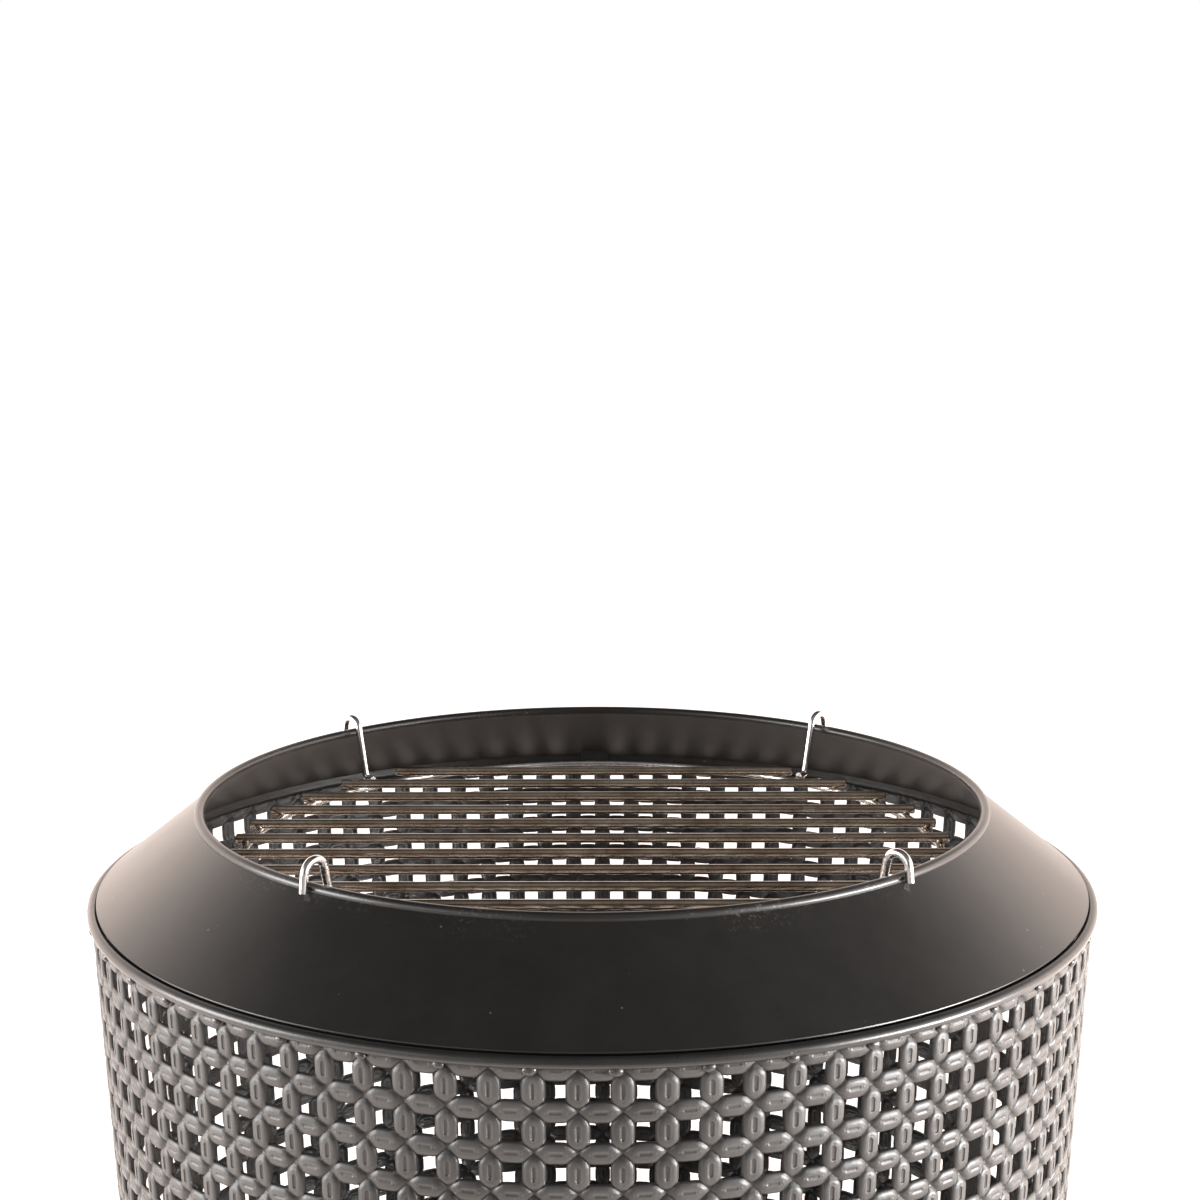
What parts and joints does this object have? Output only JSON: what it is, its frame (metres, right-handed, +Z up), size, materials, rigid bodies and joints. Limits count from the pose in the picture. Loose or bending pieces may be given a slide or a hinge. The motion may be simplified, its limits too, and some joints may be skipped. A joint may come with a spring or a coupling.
{
  "type": "fire pit with grate",
  "caption": "Round steel fire pit: tapered perforated drum on short feet, loose cone collar with a rolled rim, and a round bar grate hung inside by wire hooks.",
  "frame": {"origin": "on the ground, under the centre of the drum", "axes": "+Z up along the drum's axis, -Y towards the front, grate bars along X"},
  "size_m": [0.5055, 0.5054, 0.4376],
  "materials": {
    "drum_paint": "matte dark grey heat-resistant paint",
    "floor_paint": "matte black heat-resistant paint",
    "collar_paint": "satin charcoal heat-resistant paint",
    "grate_steel": "drawn steel bar, browned and lightly oiled",
    "bright_wire": "bright plated wire"
  },
  "bodies": {
    "drum": {"drum_wall": "drum_paint", "seam_strip": "drum_paint", "top_ring": "drum_paint", "bottom_ring": "drum_paint", "fire_floor": "floor_paint", "floor_hoop": "floor_paint", "floor_brace_across": "floor_paint", "floor_brace_along": "floor_paint", "foot_front_right": "drum_paint", "foot_rear_right": "drum_paint", "foot_rear_left": "drum_paint", "foot_front_left": "drum_paint"},
    "collar": {"collar_shell": "collar_paint", "rim_wire": "bright_wire", "collar_tab_front": "collar_paint", "collar_tab_right": "collar_paint", "collar_tab_rear": "collar_paint", "collar_tab_left": "collar_paint"},
    "grate": {"grate_ring": "bright_wire", "grate_bar_01": "grate_steel", "grate_bar_02": "grate_steel", "grate_bar_03": "grate_steel", "grate_bar_04": "grate_steel", "grate_bar_05": "grate_steel", "grate_bar_06": "grate_steel", "grate_bar_07": "grate_steel", "grate_bar_08": "grate_steel", "grate_bar_09": "grate_steel", "grate_bar_10": "grate_steel", "grate_bar_11": "grate_steel", "hook_front_right": "bright_wire", "hook_rear_right": "bright_wire", "hook_rear_left": "bright_wire", "hook_front_left": "bright_wire"}
  },
  "joints": [
    {"name": "collar_lift", "type": "slide", "parent": "drum", "child": "collar", "axis": [0, 0, 1], "range_m": [0, 0.25]},
    {"name": "grate_lift", "type": "slide", "parent": "collar", "child": "grate", "axis": [0, 0, 1], "range_m": [0, 0.25]}
  ]
}
